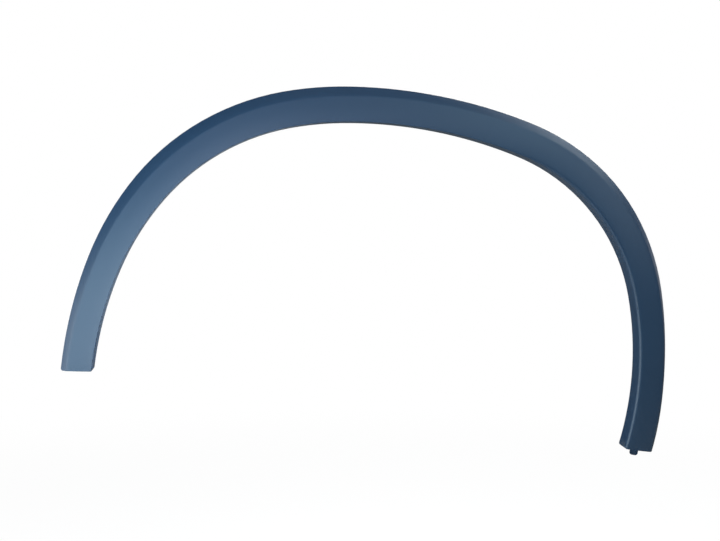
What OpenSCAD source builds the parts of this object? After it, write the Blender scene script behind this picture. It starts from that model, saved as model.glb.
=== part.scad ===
// Wheel arch trim: one moulded shell that follows the edge of a wheel opening, with the push-in
// clips that hold it on the car body. X runs along the car, Z is up and -Y points away from the car.
// The origin is the centre of the screw hole in the flange at the crown of the arch.

/* [Left side of the opening, from the crown down] */
// Radius of the first arc
left_r1 = 450; // [430:5:470]
// Angle that the first arc turns
left_a1 = 10; // [8:0.5:12]
// Radius of the second arc
left_r2 = 315; // [300:5:330]
// Angle that the second arc turns
left_a2 = 39; // [36:0.5:41]
// Radius of the third arc
left_r3 = 385; // [370:5:400]
// Angle that the third arc turns
left_a3 = 17; // [15:0.5:19]
// Radius of the fourth arc
left_r4 = 530; // [500:5:550]
// Angle that the fourth arc turns
left_a4 = 16.5; // [15:0.5:18]

/* [Right side of the opening, from the crown down] */
// Radius of the first arc
right_r1 = 660; // [630:5:690]
// Angle that the first arc turns
right_a1 = 22; // [20:0.5:24]
// Radius of the second arc
right_r2 = 275; // [260:5:290]
// Angle that the second arc turns
right_a2 = 57; // [54:0.5:59]
// Radius of the third arc
right_r3 = 477; // [450:1:500]
// Angle that the third arc turns
right_a3 = 27; // [25:0.5:28]

/* [Car body behind the trim] */
// Radius of the body side seen from above
body_plan_r = 4000; // [3500:100:6000]
// Distance of the body's widest point in front of the crown
body_plan_x = 150; // [50:10:200]
// Radius of the body side seen from the front of the car
body_side_r = 5000; // [4500:100:7000]
// Drop from the crown to the body's widest point
body_side_drop = 200; // [100:10:300]

/* [Width of the band] */
// Width at the left end
width_left_end = 45; // [42:0.5:50]
// Width at the left shoulder
width_left = 51.5; // [48:0.5:56]
// Width at the crown
width_crown = 49; // [46:0.5:54]
// Width at the right shoulder
width_right = 50; // [46:0.5:54]
// Width half way down the right leg
width_right_leg = 43.5; // [41:0.5:50]
// Width at the right end
width_right_end = 46; // [42:0.5:50]

/* [Chamfer along the outer edge] */
// Chamfer at the left end
chamfer_left_end = 9; // [7:0.5:11]
// Chamfer at the left shoulder
chamfer_left = 15.5; // [13:0.5:17]
// Chamfer at the crown
chamfer_crown = 12; // [9:0.5:14]
// Chamfer at the right shoulder
chamfer_right = 10.5; // [8:0.5:14]
// Chamfer half way down the right leg
chamfer_right_leg = 3.5; // [2:0.5:6]
// Chamfer at the right end
chamfer_right_end = 3; // [2:0.5:5]

/* [Section] */
// Height of the inner crease over the body side
proud_in = 18; // [16:0.5:22]
// Height of the outer crease over the body side
proud_out = 10; // [9:0.5:12]
// Crown of the face between its two creases
face_crown = 0.6; // [0:0.1:1]
// Depth of the flange behind the body side
flange_back = 16; // [15.5:0.5:20]
// Lean of the flange over its whole depth
flange_draft = 1.2; // [0.6:0.1:2]
// Radius of the inner crease from the left end to the crown
crease_in_left_r = 1; // [0.5:0.5:3]
// Radius of the inner crease down the right side
crease_in_right_r = 5; // [3:0.5:7]
// Radius of the outer crease from the left end to the crown
crease_out_left_r = 12; // [8:0.5:14]
// Radius of the outer crease down the right side
crease_out_right_r = 9; // [4:0.5:10]
// Height of the blunt lip that meets the body
lip_h = 1.4; // [1:0.1:2]
// Radius on the lip
lip_r = 0.7; // [0.4:0.1:0.8]

/* [Walls] */
// Wall of the face
wall = 2.5; // [2.2:0.1:2.8]
// Wall of the flange
flange_wall = 2.2; // [2:0.1:2.8]
// Width of the lip's foot
lip_foot = 2.4; // [2:0.1:3]
// Wall that closes each end
end_wall = 2.2; // [1.8:0.1:3]
// Ribs on the back
rib_t = 1.6; // [1.2:0.1:2]
// Space left between the ribs and the body
rib_gap = 0.8; // [0.5:0.1:1.5]

/* [Ends] */
// Tilt of the cut across the left end
left_cut = -1; // [-3:0.5:3]
// Tilt of the cut across the right end
right_cut = 10; // [7:0.5:13]
// Radius of both corners of the left end
left_corner_r = 3; // [1.5:0.5:5]
// Radius of the right end's inner corner
right_inner_r = 4; // [2:0.5:9]
// Radius of the right end's outer corner
right_outer_r = 4.5; // [1.5:0.5:5]
// Radius of the flange's back corner at each end
flange_corner_r = 2.5; // [1:0.5:6]

/* [Tongue at the right end] */
// Width of the tongue
tongue_w = 12; // [9:0.5:15]
// Length of the tongue beyond the end
tongue_out = 9; // [6:0.5:12]
// Length of the tongue behind the face
tongue_in = 14; // [10:0.5:20]
// Thickness of the tongue
tongue_t = 2.4; // [2:0.1:3]
// Distance of the tongue's middle from the opening, along the cut
tongue_u = 18.5; // [17:0.5:23]
// Space between the tongue and the body
tongue_gap = 1; // [0.8:0.1:2]
// Radius on the tongue's corners
tongue_r = 3.5; // [1.5:0.5:4]

/* [Flange screws] */
// Diameter of the screw holes
screw_hole_d = 6.5; // [5:0.1:7]
// Distance of the screw holes behind the body side
hole_back = 7; // [6.5:0.1:7.5]
// Diameter of the pad round each screw hole
screw_pad_d = 16; // [14:0.5:16.5]
// Height of the pad over the hidden side of the flange
screw_pad_h = 1.6; // [1:0.1:2.5]
// Distance of the low left hole from the crown, along the edge
screw_low_left = 485; // [470:1:495]
// Distance of the upper left hole from the crown
screw_left = 225; // [210:1:235]
// Distance of the right hole from the crown
screw_right = 205; // [190:1:215]

/* [Clips and their houses] */
// Number of clips
clip_count = 10; // [8:1:10]
// Distance of the first clip from the crown, along the left edge
clip_first = 510; // [495:1:520]
// Pitch of the clips along the edge
clip_pitch = 124; // [118:1:127]
// Distance of the clips from the edge of the opening
clip_u = 19; // [18:0.5:20]
// Height of a house's roof over the body
roof_p = 3; // [2.6:0.1:3.4]
// Thickness of a house's roof
roof_t = 2; // [1.6:0.1:2.4]
// Width of a house between its two ribs
house_w = 18; // [17:0.5:20]
// Height of a house's ribs over its roof
house_rim = 0.5; // [0.3:0.1:0.8]
// Length of a house across the band
house_l = 21; // [19:0.5:22]
// Diameter of a clip's head
head_d = 14; // [11:0.5:15]
// Thickness of a clip's head
head_t = 1.5; // [1.2:0.1:1.8]
// Diameter of a clip's neck
neck_d = 6; // [5:0.1:7]
// Clearance of a clip in its house
clip_fit = 0.2; // [0.1:0.05:0.4]
// Diameter of a clip's sealing collar
collar_d = 16; // [13:0.5:17]
// Height of the sealing collar
collar_h = 2; // [1.6:0.1:2.2]
// Thickness of the sealing collar's skirt
collar_t = 0.9; // [0.7:0.1:1.1]
// Diameter of a clip's stem
stem_d = 5.6; // [5:0.1:6]
// Diameter over a clip's barbs
barb_d = 8.6; // [7.5:0.1:9]
// Distance of the barbs behind the body's outer face
barb_back = 1.6; // [1.3:0.1:2.4]
// Length of a clip's pointed end
point_l = 9; // [7:0.5:12]
// Diameter of a clip's blunt tip
tip_d = 2.8; // [2:0.1:4]
// Height of the barbs' straight edge
barb_land = 1; // [0.6:0.1:1.5]
// Width of the slot that splits a clip's stem
split_w = 1.4; // [1:0.1:1.8]

/* [Locating pegs] */
// Diameter of the pegs
peg_d = 6; // [5:0.1:7]
// Diameter of the boss that each peg stands on
peg_boss_d = 9; // [8:0.5:11]
// Length of a peg's straight part from its shoulder
peg_l = 9; // [7:0.5:12]
// Length of a peg's tapered tip
peg_tip_l = 2.5; // [1.5:0.5:4]
// Span of the crossed ribs that carry a peg
peg_rib_l = 14; // [12:0.5:16]
// Depth of the crossed ribs below the boss's shoulder
peg_rib_drop = 0.6; // [0.4:0.1:1.5]
// Distance of the pegs from the edge of the opening
peg_u = 20; // [18:0.5:22]
// Distance of the left peg from the crown, along the edge
peg_left = 290; // [275:1:300]
// Distance of the right peg from the crown
peg_right = 336; // [320:1:345]

/* [Gussets between flange and face] */
// Reach of the gussets across the band
gusset_l = 15; // [10:0.5:20]

/* [Hidden] */
$fn = 48;

ring_step = 15;
overrun = 14;
crease_in_steps = 8;
crease_out_steps = 5;
lip_steps = 2;
inner_steps = 3;
edge_break = 0.6;
plug_l = 30;
drill_l = 24;
peg_root = 2;

// Size of the slabs that cut the ends, more than the whole section
cut_reach = 2 * (width_left + flange_back);

// Lists of the arcs on each side, and where along the trim its widths are set
left_radii = [left_r1, left_r2, left_r3, left_r4];
left_angles = [left_a1, left_a2, left_a3, left_a4];
right_radii = [right_r1, right_r2, right_r3];
right_angles = [right_a1, right_a2, right_a3];
left_l = chain_length(left_radii, left_angles);
right_l = chain_length(right_radii, right_angles);
trim_l = left_l + right_l;
fractions = [0, 0.27, 0.54, 0.70, 0.90, 1];
widths = [width_left_end, width_left, width_crown, width_right, width_right_leg, width_right_end];
chamfers = [chamfer_left_end, chamfer_left, chamfer_crown, chamfer_right, chamfer_right_leg, chamfer_right_end];
creases_in = left_to_right(crease_in_left_r, crease_in_right_r);
creases_out = left_to_right(crease_out_left_r, crease_out_right_r);
screws = [-screw_low_left, -screw_left, 0, screw_right];
pegs = [-peg_left, peg_right];
clips = [for (i = [0:clip_count - 1]) -clip_first + i * clip_pitch];
gussets = [for (i = [0:clip_count - 2]) -clip_first + (i + 0.5) * clip_pitch];

// Plane geometry
function unit(v) = v / norm(v);
function right_of(d) = [d[1], -d[0]];

// The corner where the lines a-b and b-c meet after each has moved to its right
function inset_corner(a, b, c, ab_by, bc_by) =
    let (
        d1 = unit(b - a),
        d2 = unit(c - b),
        m1 = b + right_of(d1) * ab_by,
        m2 = b + right_of(d2) * bc_by
    )
    m1 + d1 * cross(m2 - m1, d2) / cross(d1, d2);

// Points of the arc of radius r that rounds corner b between a and c
function fillet(a, b, c, r, steps) =
    let (
        d1 = unit(a - b),
        d2 = unit(c - b),
        half = acos(d1 * d2) / 2,
        centre = b + unit(d1 + d2) * r / sin(half),
        from = b + d1 * r / tan(half) - centre,
        turn = (180 - 2 * half) * sign(cross(b - a, c - b)),
        start = atan2(from[1], from[0])
    )
    [for (i = [0:steps]) centre + r * [cos(start + turn * i / steps), sin(start + turn * i / steps)]];

// The edge of the opening: tangent arcs on each side of the crown
function chain_length(radii, angles, i = 0) =
    i == len(radii) ? 0 : radii[i] * angles[i] * PI / 180 + chain_length(radii, angles, i + 1);

function along_arc(start, r, turn) =
    let (h = start[2])
    [start[0] + r * (sin(h + turn) - sin(h)), start[1] + r * (cos(h + turn) - cos(h)), h + turn];

function along_chain(radii, angles, d, i = 0, start = [0, 0, 0]) =
    let (arc_l = radii[i] * angles[i] * PI / 180)
    d <= arc_l || i == len(radii) - 1
        ? along_arc(start, radii[i], d / radii[i] * 180 / PI)
        : along_chain(radii, angles, d - arc_l, i + 1, along_arc(start, radii[i], angles[i]));

// Place at distance s along the edge, negative to the left: x, z and the heading below horizontal
function spot(s) =
    s >= 0
        ? along_chain(right_radii, right_angles, s)
        : let (p = along_chain(left_radii, left_angles, -s)) [-p[0], p[1], -p[2]];

// The body side, a gentle double curve through the screw hole's distance at the crown
function bulge(x, z) =
    pow(x - body_plan_x, 2) / (2 * body_plan_r) + pow(z + body_side_drop, 2) / (2 * body_side_r);
function body_y(x, z) = bulge(x, z) - bulge(0, 0) - hole_back;

// A section point is [u, p]: u outward from the edge of the opening, p out from the body side
function in_plane(s, q) =
    let (c = spot(s))
    [c[0] + q[0] * sin(c[2]), c[1] + q[0] * cos(c[2])];
function depth_y(s, q) =
    let (xz = in_plane(s, q))
    body_y(xz[0], xz[1]) - q[1];
function in_space(s, q) =
    let (xz = in_plane(s, q))
    [xz[0], body_y(xz[0], xz[1]) - q[1], xz[1]];

// Smooth change between values set at the fractions of the trim's length
function blend(values, s) =
    let (
        t = min(max((s + left_l) / trim_l, 0), 1),
        spans = [for (i = [0:len(fractions) - 2]) if (t >= fractions[i]) i],
        k = spans[len(spans) - 1],
        f = (t - fractions[k]) / (fractions[k + 1] - fractions[k])
    )
    values[k] + (values[k + 1] - values[k]) * (1 - cos(180 * f)) / 2;

// One value from the left end to the crown, and another from the right shoulder down
function left_to_right(left, right) = [left, left, left, right, right, right];

// Corners of the outer skin: flange edge, inner crease, outer crease, top and foot of the lip
function outer_corners(s) =
    let (b = blend(widths, s), c = blend(chamfers, s))
    [[-flange_draft, -flange_back], [0, proud_in], [b - c, proud_out], [b, lip_h], [b, 0]];

// Corners of a skin that lies inside the outer one, by a share of each wall
function inner_corners(s, share) =
    let (k = outer_corners(s), b = k[4][0], f = flange_wall * share, w = wall * share)
    [
        [k[0][0] + f, k[0][1]],
        inset_corner(k[0], k[1], k[2], f, w),
        inset_corner(k[1], k[2], k[3], w, w),
        [b - lip_foot * share, 0]
    ];

function shell_section(s) =
    let (
        k = outer_corners(s),
        n = inner_corners(s, 1),
        edge = [n[0][0], k[0][1]],
        in_r = blend(creases_in, s),
        out_r = blend(creases_out, s)
    )
    concat(
        fillet(edge, k[0], k[1], edge_break, 1),
        fillet(k[0], k[1], k[2], in_r, crease_in_steps),
        [for (f = [1 / 3, 2 / 3]) k[1] + (k[2] - k[1]) * f + [0, face_crown * 4 * f * (1 - f)]],
        fillet(k[1], k[2], k[3], out_r, crease_out_steps),
        fillet(k[2], k[3], k[4], lip_r, lip_steps),
        [k[4], n[3]],
        fillet(n[3], n[2], n[1], max(out_r - wall, edge_break), inner_steps),
        fillet(n[2], n[1], n[0], max(in_r - wall, edge_break), inner_steps),
        fillet(n[1], edge, k[0], edge_break, 1)
    );

// The space behind the face, out to the middle of each wall and back to level p
function plug_section(s, p) =
    let (n = inner_corners(s, 0.5))
    [level_point(n[0], n[1], p), n[1], n[2], level_point(n[2], n[3], p)];
function level_point(a, b, p) = a + (b - a) * (p - a[1]) / (b[1] - a[1]);

// Height over the body of the middle of the face's wall at distance u
function face_p(s, u) =
    let (n = inner_corners(s, 0.5))
    n[1][1] + (n[2][1] - n[1][1]) * (u - n[1][0]) / (n[2][0] - n[1][0]);

// A skin stretched over sections that all have the same number of points
module loft(rings) {
    n = len(rings[0]);
    last = len(rings) - 1;
    sides = [
        for (i = [0:last - 1], j = [0:n - 1])
            let (a = i * n + j, b = i * n + (j + 1) % n)
            each [[a, b, b + n], [a, b + n, a + n]]
    ];
    caps = [[for (j = [n - 1:-1:0]) j], [for (j = [0:n - 1]) last * n + j]];
    polyhedron([for (ring = rings) each ring], concat(sides, caps));
}

// Puts its child at distance s, with X along the edge, Z away from the opening and Y unturned
module at_spot(s) {
    c = spot(s);
    translate([c[0], 0, c[1]]) rotate([0, c[2], 0]) children();
}

// A profile across the band, drawn as [y, u] points, that runs length along the edge
module across(s, length, points) {
    at_spot(s) rotate([90, 0, 90]) linear_extrude(length, center = true) polygon(points);
}

// A block from u0 to u1 that rises from level back_y into the middle of the face's wall
module under_face(s, u0, u1, back_y, length) {
    across(s, length, [
        [back_y, u0],
        [depth_y(s, [u0, face_p(s, u0)]), u0],
        [depth_y(s, [u1, face_p(s, u1)]), u1],
        [back_y, u1]
    ]);
}

// What a rounding of radius r takes off corner v, whose sides run along d1 and d2
module corner_waste(v, d1, d2, r) {
    half = acos(d1 * d2) / 2;
    middle = unit(d1 + d2);
    centre = v + middle * r / sin(half);
    difference() {
        polygon([v + d1 * r / tan(half), v - middle * r, v + d2 * r / tan(half), centre]);
        translate(centre) circle(r);
    }
}

// Frame of each end's cut, with its origin on the edge of the opening and Z into the trim
module left_end() {
    translate([spot(-left_l)[0], 0, spot(-left_l)[1]]) rotate([0, left_cut, 0]) children();
}
module right_end() {
    translate([spot(right_l)[0], 0, spot(right_l)[1]]) rotate([0, right_cut, 0]) children();
}

// Slab on a cut's plane, from z0 to z1 in its frame
module slab(z0, z1) {
    translate([-cut_reach / 2, -cut_reach / 2, z0]) cube([cut_reach, cut_reach, z1 - z0]);
}

// Wall that closes the shell at one end, from station s0 to s1 before it is cut
module end_plug(s0, s1) {
    loft([for (s = [s0, (s0 + s1) / 2, s1]) [for (q = plug_section(s, rib_gap)) in_space(s, q)]]);
}

module shell() {
    count = ceil((trim_l + 2 * overrun) / ring_step);
    loft([
        for (i = [0:count])
            let (s = -left_l - overrun + i * (trim_l + 2 * overrun) / count)
            [for (q = shell_section(s)) in_space(s, q)]
    ]);
    intersection() {
        end_plug(-left_l - overrun, -left_l + plug_l);
        left_end() slab(-end_wall, end_wall);
    }
    intersection() {
        end_plug(right_l - plug_l, right_l + overrun);
        right_end() slab(-end_wall, end_wall);
    }
}

// Open-sided house for a clip: two ribs and a roof with a slot that the neck slides into
module clip_house(s) {
    u0 = clip_u - house_l / 2;
    u1 = clip_u + house_l / 2;
    roof_y = depth_y(s, [clip_u, roof_p]);
    for (side = [-1, 1]) under_face(s + side * (house_w + rib_t) / 2, u0, u1, roof_y + house_rim, rib_t);
    at_spot(s) translate([0, roof_y, clip_u]) rotate([90, 0, 0]) linear_extrude(roof_t) difference() {
        square([house_w + rib_t, house_l], center = true);
        circle(neck_d / 2 + clip_fit);
        translate([-neck_d / 2 - clip_fit, 0]) square([neck_d + 2 * clip_fit, house_l]);
    }
}

// Peg that lines the trim up with a hole in the body, on a boss with crossed ribs
module locating_peg(s) {
    shoulder_y = depth_y(s, [peg_u, rib_gap]);
    rib_y = shoulder_y - peg_rib_drop;
    under_face(s, peg_u - peg_rib_l / 2, peg_u + peg_rib_l / 2, rib_y, rib_t);
    under_face(s, peg_u - rib_t / 2, peg_u + rib_t / 2, rib_y, peg_rib_l);
    intersection() {
        under_face(s, peg_u - peg_boss_d / 2, peg_u + peg_boss_d / 2, shoulder_y, peg_boss_d);
        at_spot(s) translate([0, shoulder_y, peg_u]) rotate([90, 0, 0])
            cylinder(d = peg_boss_d, h = proud_in + rib_gap);
    }
    at_spot(s) translate([0, shoulder_y - peg_root, peg_u]) rotate([-90, 0, 0])
        cylinder(d = peg_d, h = peg_root + peg_l);
    at_spot(s) translate([0, shoulder_y + peg_l, peg_u]) rotate([-90, 0, 0])
        cylinder(d1 = peg_d, d2 = peg_d / 2, h = peg_tip_l);
}

// Pad on the hidden side of the flange, where a screw's thread holds
module screw_pad(s) {
    at_spot(s) translate([0, depth_y(s, [0, -hole_back]), flange_u(-hole_back) + flange_wall / 2])
        cylinder(d = screw_pad_d, h = flange_wall / 2 + screw_pad_h);
}
module screw_hole(s) {
    at_spot(s) translate([0, depth_y(s, [0, -hole_back]), -drill_l / 2])
        cylinder(d = screw_hole_d, h = drill_l);
}
function flange_u(p) = -flange_draft * (proud_in - p) / (proud_in + flange_back);

module gusset(s) {
    n = plug_section(s, rib_gap);
    tip = n[1][0] + gusset_l;
    across(s, rib_t, [for (q = [n[0], n[1], [tip, face_p(s, tip)]]) [depth_y(s, q), q[0]]]);
}

// Tongue that slides behind the neighbouring trim, square to the cut, with a rib up to the face
module tongue() {
    y = depth_y(right_l, [tongue_u, tongue_gap]);
    right_end() translate([tongue_u, y, 0]) rotate([90, 0, 0]) linear_extrude(tongue_t) {
        translate([-tongue_w / 2, tongue_r - tongue_out])
            square([tongue_w, tongue_out + tongue_in - tongue_r]);
        translate([tongue_r - tongue_w / 2, -tongue_out]) square([tongue_w - 2 * tongue_r, tongue_r]);
        for (side = [-1, 1])
            translate([side * (tongue_w / 2 - tongue_r), tongue_r - tongue_out]) circle(tongue_r);
    }
    under_face(
        right_l - tongue_in / 2, tongue_u - rib_t / 2, tongue_u + rib_t / 2, y - tongue_t / 2, tongue_in
    );
}

// The corners' sides run along the cut and up along the edge of the opening or the lip
module end_corners() {
    left_up = [cos(spot(-left_l)[2]), -sin(spot(-left_l)[2])];
    right_up = -[cos(spot(right_l)[2]), -sin(spot(right_l)[2])];
    left_along = [-cos(left_cut), sin(left_cut)];
    right_along = [cos(right_cut), -sin(right_cut)];
    for (k = [
        [-left_l, -flange_draft, left_along, left_up, left_corner_r],
        [-left_l, width_left_end, -left_along, left_up, left_corner_r],
        [right_l, -flange_draft, right_along, right_up, right_inner_r],
        [right_l, width_right_end, -right_along, right_up, right_outer_r]
    ]) {
        base = in_plane(k[0], [0, 0]);
        side = in_plane(k[0], [k[1], 0]);
        v = side + k[3] * cross(base - side, k[2]) / cross(k[3], k[2]);
        rotate([90, 0, 0]) linear_extrude(cut_reach, center = true) corner_waste(v, k[2], k[3], k[4]);
    }
}

// Rounds the flange's back corners, seen from inside the opening
module flange_corners() {
    left_end() rotate([90, 0, 90]) linear_extrude(drill_l, center = true)
        corner_waste([depth_y(-left_l, [0, -flange_back]), 0], [-1, 0], [0, 1], flange_corner_r);
    right_end() rotate([90, 0, 90]) linear_extrude(drill_l, center = true)
        corner_waste([depth_y(right_l, [0, -flange_back]), 0], [-1, 0], [0, 1], flange_corner_r);
}

module arch_trim() {
    color([0.26, 0.35, 0.46]) difference() {
        union() {
            difference() {
                shell();
                left_end() slab(-cut_reach / 2, 0);
                right_end() slab(-cut_reach / 2, 0);
                end_corners();
                flange_corners();
            }
            for (s = clips) clip_house(s);
            for (s = gussets) gusset(s);
            for (s = pegs) locating_peg(s);
            for (s = screws) screw_pad(s);
            tongue();
        }
        for (s = screws) screw_hole(s);
    }
}

// Push-in clip on the Z axis, with the roof's back face at z = 0 and the body beyond it
module clip() {
    stem_start = clip_fit + collar_t;
    barb_z = roof_p + barb_back;
    barb_rise = (barb_d - stem_d) / 2;
    difference() {
        rotate_extrude() polygon([
            [0, -roof_t - clip_fit - head_t],
            [head_d / 2, -roof_t - clip_fit - head_t],
            [head_d / 2, -roof_t - clip_fit],
            [neck_d / 2, -roof_t - clip_fit],
            [neck_d / 2, clip_fit],
            [neck_d / 2 + collar_t, clip_fit],
            [collar_d / 2, collar_h],
            [collar_d / 2 - collar_t, collar_h],
            [stem_d / 2, stem_start],
            [stem_d / 2, barb_z],
            [barb_d / 2, barb_z + barb_rise],
            [barb_d / 2, barb_z + barb_rise + barb_land],
            [tip_d / 2, barb_z + point_l],
            [0, barb_z + point_l]
        ]);
        translate([-split_w / 2, -barb_d, roof_p]) cube([split_w, 2 * barb_d, point_l]);
    }
}

module retaining_clips() {
    color([0.90, 0.89, 0.84]) for (s = clips)
        at_spot(s) translate([0, depth_y(s, [clip_u, roof_p]), clip_u]) rotate([-90, 0, 0]) clip();
}

arch_trim();
retaining_clips();
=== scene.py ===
import math

import bmesh
import bpy
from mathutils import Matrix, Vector


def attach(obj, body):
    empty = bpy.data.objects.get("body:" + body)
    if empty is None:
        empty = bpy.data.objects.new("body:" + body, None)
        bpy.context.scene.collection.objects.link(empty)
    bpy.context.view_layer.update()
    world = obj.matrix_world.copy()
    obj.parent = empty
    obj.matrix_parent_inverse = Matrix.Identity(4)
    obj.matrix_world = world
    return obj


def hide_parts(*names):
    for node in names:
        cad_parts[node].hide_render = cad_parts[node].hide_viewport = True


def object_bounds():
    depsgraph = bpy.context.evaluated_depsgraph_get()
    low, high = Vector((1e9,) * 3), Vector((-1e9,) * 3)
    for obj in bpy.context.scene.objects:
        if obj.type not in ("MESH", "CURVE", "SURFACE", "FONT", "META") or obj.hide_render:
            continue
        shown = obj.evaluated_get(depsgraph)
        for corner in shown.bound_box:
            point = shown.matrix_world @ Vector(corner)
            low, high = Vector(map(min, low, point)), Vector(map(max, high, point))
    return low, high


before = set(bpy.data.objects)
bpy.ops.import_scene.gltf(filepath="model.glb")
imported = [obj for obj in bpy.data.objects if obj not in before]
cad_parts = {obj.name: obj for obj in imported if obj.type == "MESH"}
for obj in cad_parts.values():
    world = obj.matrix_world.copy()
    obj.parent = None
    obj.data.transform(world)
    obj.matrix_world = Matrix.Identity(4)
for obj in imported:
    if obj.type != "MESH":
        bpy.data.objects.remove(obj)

cad_low, cad_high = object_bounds()

# The arch trim is one injection-moulded shell of filled polypropylene, coloured right through.
# It came out of the mould in one shot, so its face, flange, end walls, ribs, clip houses and
# pegs are one skin with small radii on every edge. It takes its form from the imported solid.
MERGE_DISTANCE = 1e-6
CRISP_ANGLE = math.radians(32)
PLASTIC_BLUE = (0.0131, 0.0383, 0.0835, 1)
PLASTIC_BLUE_PALE = (0.0147, 0.0418, 0.0905, 1)
PLASTIC_ROUGHNESS = (0.40, 0.47)
PLASTIC_IOR = 1.46
PLASTIC_CLOUD_SCALE = 14
PLASTIC_GRAIN_SCALE = 2600
PLASTIC_GRAIN_DEPTH = 0.00004
CLOUD_DETAIL = 3
GRAIN_DETAIL = 2
GRAIN_STRENGTH = 0.35


def moulded(name, tones, roughness, cloud_scale, grain_scale, grain_depth):
    """A moulded plastic: two close tones in slow clouds, and a fine grain from the mould's wall."""
    material = bpy.data.materials.new(name)
    material.use_nodes = True
    nodes, links = material.node_tree.nodes, material.node_tree.links
    shader = nodes["Principled BSDF"]
    place = nodes.new("ShaderNodeTexCoord")

    clouds = nodes.new("ShaderNodeTexNoise")
    clouds.inputs["Scale"].default_value = cloud_scale
    clouds.inputs["Detail"].default_value = CLOUD_DETAIL
    links.new(place.outputs["Object"], clouds.inputs["Vector"])
    colour = nodes.new("ShaderNodeMix")
    colour.data_type = "RGBA"
    colour.inputs["A"].default_value, colour.inputs["B"].default_value = tones
    links.new(clouds.outputs["Fac"], colour.inputs["Factor"])
    links.new(colour.outputs["Result"], shader.inputs["Base Color"])

    grain = nodes.new("ShaderNodeTexNoise")
    grain.inputs["Scale"].default_value = grain_scale
    grain.inputs["Detail"].default_value = GRAIN_DETAIL
    links.new(place.outputs["Object"], grain.inputs["Vector"])
    bump = nodes.new("ShaderNodeBump")
    bump.inputs["Strength"].default_value = GRAIN_STRENGTH
    bump.inputs["Distance"].default_value = grain_depth
    links.new(grain.outputs["Fac"], bump.inputs["Height"])
    links.new(bump.outputs["Normal"], shader.inputs["Normal"])

    sheen = nodes.new("ShaderNodeMapRange")
    sheen.inputs["To Min"].default_value, sheen.inputs["To Max"].default_value = roughness
    links.new(clouds.outputs["Fac"], sheen.inputs["Value"])
    links.new(sheen.outputs["Result"], shader.inputs["Roughness"])
    return material, shader


# The solid's loose triangles are joined, then shaded smooth over the facets and crisp at the corners
trim_shape = bmesh.new()
trim_shape.from_mesh(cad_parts["arch_trim"].data)
bmesh.ops.remove_doubles(trim_shape, verts=trim_shape.verts, dist=MERGE_DISTANCE)
trim_shape.normal_update()
for face in trim_shape.faces:
    face.smooth = True
for edge in trim_shape.edges:
    edge.smooth = edge.calc_face_angle(0) < CRISP_ANGLE
trim_mesh = bpy.data.meshes.new("trim_shell")
trim_shape.to_mesh(trim_mesh)
trim_shape.free()
# The normals that come with the solid's mesh would overrule the crisp edges
if trim_mesh.has_custom_normals:
    trim_mesh.attributes.remove(trim_mesh.attributes["custom_normal"])
trim = bpy.data.objects.new("trim_shell", trim_mesh)
bpy.context.scene.collection.objects.link(trim)

trim_plastic, trim_shader = moulded(
    "satin_blue_polypropylene", (PLASTIC_BLUE, PLASTIC_BLUE_PALE), PLASTIC_ROUGHNESS,
    PLASTIC_CLOUD_SCALE, PLASTIC_GRAIN_SCALE, PLASTIC_GRAIN_DEPTH,
)
trim_shader.inputs["IOR"].default_value = PLASTIC_IOR
trim_mesh.materials.append(trim_plastic)
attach(trim, "root")
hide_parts("arch_trim")

# The retaining clips are push-in fasteners of natural nylon, one in each house on the back.
# Each slides in from the outer side, and its split point snaps into a hole in the body.
NYLON_WARM = (0.68, 0.65, 0.56, 1)
NYLON_PALE = (0.75, 0.73, 0.65, 1)
NYLON_ROUGHNESS = (0.34, 0.42)
NYLON_CLOUD_SCALE = 60
NYLON_GRAIN_SCALE = 3000
NYLON_GRAIN_DEPTH = 0.00002
NYLON_MILKINESS = 0.25
NYLON_LIGHT_REACH = (0.003, 0.0025, 0.002)

nylon, nylon_shader = moulded(
    "natural_nylon", (NYLON_WARM, NYLON_PALE), NYLON_ROUGHNESS,
    NYLON_CLOUD_SCALE, NYLON_GRAIN_SCALE, NYLON_GRAIN_DEPTH,
)
nylon_shader.inputs["Subsurface Weight"].default_value = NYLON_MILKINESS
nylon_shader.inputs["Subsurface Radius"].default_value = NYLON_LIGHT_REACH
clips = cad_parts["retaining_clips"]
clips.data.materials.clear()
clips.data.materials.append(nylon)

# The floor is a plain pale sheet well below the trim, which hangs as on the car.
# The camera sees it nearly white, with some of the trim's shadow near the trim and none far off.
# It throws back less light than it seems to, so the trim's undersides stay as dark as in the photo.
FLOOR_DROP = 0.26
FLOOR_SIZE = 24
SHADE_NEAR = 0.6
SHADE_FAR = 2.2
WHITE_NEAR = 0.90
WHITE_FAR = 1
PAPER_ROUGHNESS = 0.9
PAPER_SEEN = (0.82, 0.82, 0.82, 1)
PAPER_AS_LIGHT = (0.38, 0.34, 0.27, 1)

floor_shape = bmesh.new()
bmesh.ops.create_grid(floor_shape, x_segments=1, y_segments=1, size=FLOOR_SIZE / 2)
bmesh.ops.translate(floor_shape, verts=floor_shape.verts, vec=(0, 0, cad_low[2] - FLOOR_DROP))
floor_mesh = bpy.data.meshes.new("floor")
floor_shape.to_mesh(floor_mesh)
floor_shape.free()
floor = bpy.data.objects.new("floor", floor_mesh)
bpy.context.scene.collection.objects.link(floor)

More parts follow.
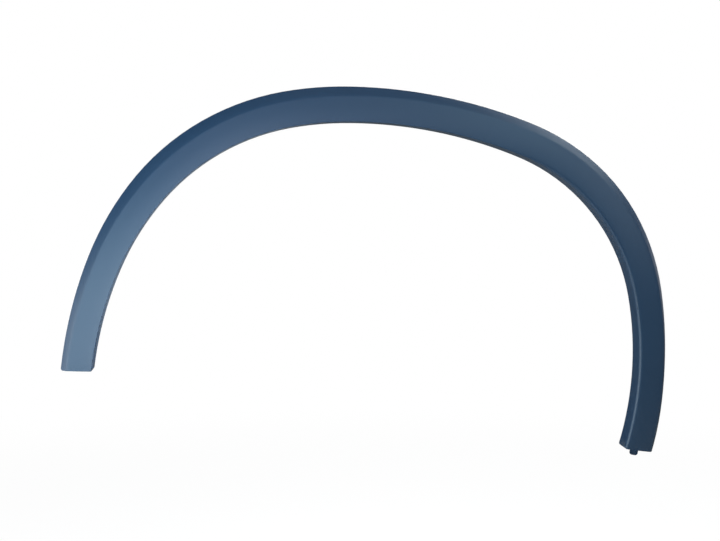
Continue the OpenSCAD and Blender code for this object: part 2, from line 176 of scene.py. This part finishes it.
paper = bpy.data.materials.new("floor_paper")
paper.use_nodes = True
nodes, links = paper.node_tree.nodes, paper.node_tree.links
paper_shader = nodes["Principled BSDF"]
paper_shader.inputs["Roughness"].default_value = PAPER_ROUGHNESS
place = nodes.new("ShaderNodeTexCoord")
reach = nodes.new("ShaderNodeVectorMath")
reach.operation = "LENGTH"
links.new(place.outputs["Object"], reach.inputs[0])
whiteness = nodes.new("ShaderNodeMapRange")
whiteness.interpolation_type = "SMOOTHSTEP"
whiteness.inputs["From Min"].default_value = SHADE_NEAR
whiteness.inputs["From Max"].default_value = SHADE_FAR
whiteness.inputs["To Min"].default_value = WHITE_NEAR
whiteness.inputs["To Max"].default_value = WHITE_FAR
links.new(reach.outputs["Value"], whiteness.inputs["Value"])
glow = nodes.new("ShaderNodeEmission")
path = nodes.new("ShaderNodeLightPath")
paper_tone = nodes.new("ShaderNodeMix")
paper_tone.data_type = "RGBA"
paper_tone.inputs["A"].default_value = PAPER_AS_LIGHT
paper_tone.inputs["B"].default_value = PAPER_SEEN
links.new(path.outputs["Is Camera Ray"], paper_tone.inputs["Factor"])
links.new(paper_tone.outputs["Result"], paper_shader.inputs["Base Color"])
share = nodes.new("ShaderNodeMath")
share.operation = "MULTIPLY"
links.new(path.outputs["Is Camera Ray"], share.inputs[0])
links.new(whiteness.outputs["Result"], share.inputs[1])
blend = nodes.new("ShaderNodeMixShader")
links.new(share.outputs[0], blend.inputs["Fac"])
links.new(paper_shader.outputs["BSDF"], blend.inputs[1])
links.new(glow.outputs["Emission"], blend.inputs[2])
links.new(blend.outputs["Shader"], nodes["Material Output"].inputs["Surface"])
floor_mesh.materials.append(paper)

# The room is white where the camera looks, as the photo's backdrop is.
# As a light it is a plain dim grey, so that the lamps give the trim its shading.
ROOM_WHITE = (1, 1, 1, 1)
ROOM_AS_LIGHT = (0.05, 0.04, 0.035, 1)

world = bpy.data.worlds.new("studio")
world.use_nodes = True
bpy.context.scene.world = world
nodes, links = world.node_tree.nodes, world.node_tree.links
room = nodes["Background"]
room.inputs["Color"].default_value = ROOM_AS_LIGHT
white = nodes.new("ShaderNodeBackground")
white.inputs["Color"].default_value = ROOM_WHITE
path = nodes.new("ShaderNodeLightPath")
blend = nodes.new("ShaderNodeMixShader")
links.new(path.outputs["Is Camera Ray"], blend.inputs["Fac"])
links.new(room.outputs["Background"], blend.inputs[1])
links.new(white.outputs["Background"], blend.inputs[2])
links.new(blend.outputs["Shader"], nodes["World Output"].inputs["Surface"])

# The lamps are soft panels. They light the left end most, as in the photo, and the light falls
# off over the crown to a group at the upper right. A wide panel behind shows the clips and ribs,
# and a dim one gives the flange's inner side at the left the backdrop's sheen.
WHITE_LIGHT = (1, 1, 1)
COOL_LIGHT = (0.81, 0.94, 1)
SKY_LIGHT = (0.65, 0.92, 1)
MIDDLE = (0.03, 0, -0.2)
LEFT_LEG = (-0.3, 0, -0.25)
LEFT_INNER = (-0.33, 0, -0.15)
RIGHT_SHOULDER = (0.3, 0, -0.1)


def soft_light(name, place, aim, size, watts, tint=WHITE_LIGHT, spread=180):
    """A panel of light at a place, turned to its aim, with its width and height in metres."""
    lamp = bpy.data.lights.new(name, "AREA")
    lamp.shape = "RECTANGLE"
    lamp.size, lamp.size_y = size
    lamp.energy = watts
    lamp.color = tint
    lamp.spread = math.radians(spread)
    panel = bpy.data.objects.new(name, lamp)
    panel.visible_camera = False
    panel.location = place
    panel.rotation_euler = (Vector(aim) - Vector(place)).to_track_quat("-Z", "Y").to_euler()
    bpy.context.scene.collection.objects.link(panel)


soft_light("near_left", (-0.70, -1.15, -0.12), LEFT_LEG, (0.5, 0.9), 1.6)
soft_light("low_left", (-0.75, -0.95, -0.45), LEFT_LEG, (0.5, 0.4), 3.6)
soft_light("inner", (0.25, -0.5, -0.40), LEFT_INNER, (0.25, 0.25), 0.9, spread=60)
soft_light("high_front", (-0.55, -1.4, 0.45), LEFT_LEG, (0.5, 0.5), 3.6)
soft_light("front_left", (-1.3, -1.3, -0.3), MIDDLE, (1.5, 1.0), 21.6, SKY_LIGHT)
soft_light("side_left", (-1.7, -0.3, -0.35), MIDDLE, (1.0, 0.6), 12, COOL_LIGHT)
soft_light("rear_left", (-1.7, 0.5, -0.35), MIDDLE, (1.0, 0.6), 2.2)
soft_light("front", (0.2, -1.5, 0.75), MIDDLE, (0.7, 0.7), 2.6)
soft_light("top", (-0.1, -0.4, 1.5), MIDDLE, (0.9, 0.9), 1.1)
soft_light("near_right", (0.72, -0.80, 0.72), RIGHT_SHOULDER, (0.6, 0.6), 3.7, SKY_LIGHT)
soft_light("right", (1.75, -1.3, 0.45), RIGHT_SHOULDER, (0.9, 0.9), 6.1, COOL_LIGHT)
soft_light("upper_right", (1.62, -0.23, 1.24), RIGHT_SHOULDER, (0.95, 0.95), 15.2, COOL_LIGHT)
soft_light("far_right", (2.74, 1.26, 0.0), MIDDLE, (1.5, 1.0), 5)
soft_light("behind_left", (-0.25, 1.0, -0.22), LEFT_INNER, (0.5, 0.5), 0.05, COOL_LIGHT, spread=40)
soft_light("back", (1.26, 2.13, 1.52), MIDDLE, (2.0, 2.0), 26, spread=50)

# The photograph was taken from a little left of the trim's middle and slightly above it.
AZIMUTH = math.radians(-5)
ELEVATION = math.radians(4)
DISTANCE = 2.0
AIM = Vector((0.01765, -0.007, -0.21065))
LENS_MM = 70.175
SENSOR_MM = 36

camera = bpy.data.objects.new("camera", bpy.data.cameras.new("camera"))
camera.data.lens = LENS_MM
camera.data.sensor_width = SENSOR_MM
away = Vector((
    math.sin(AZIMUTH) * math.cos(ELEVATION),
    -math.cos(AZIMUTH) * math.cos(ELEVATION),
    math.sin(ELEVATION),
))
camera.location = AIM + away * DISTANCE
camera.rotation_euler = (-away).to_track_quat("-Z", "Y").to_euler()
bpy.context.scene.collection.objects.link(camera)
bpy.context.scene.camera = camera
bpy.context.scene.view_settings.view_transform = "Standard"
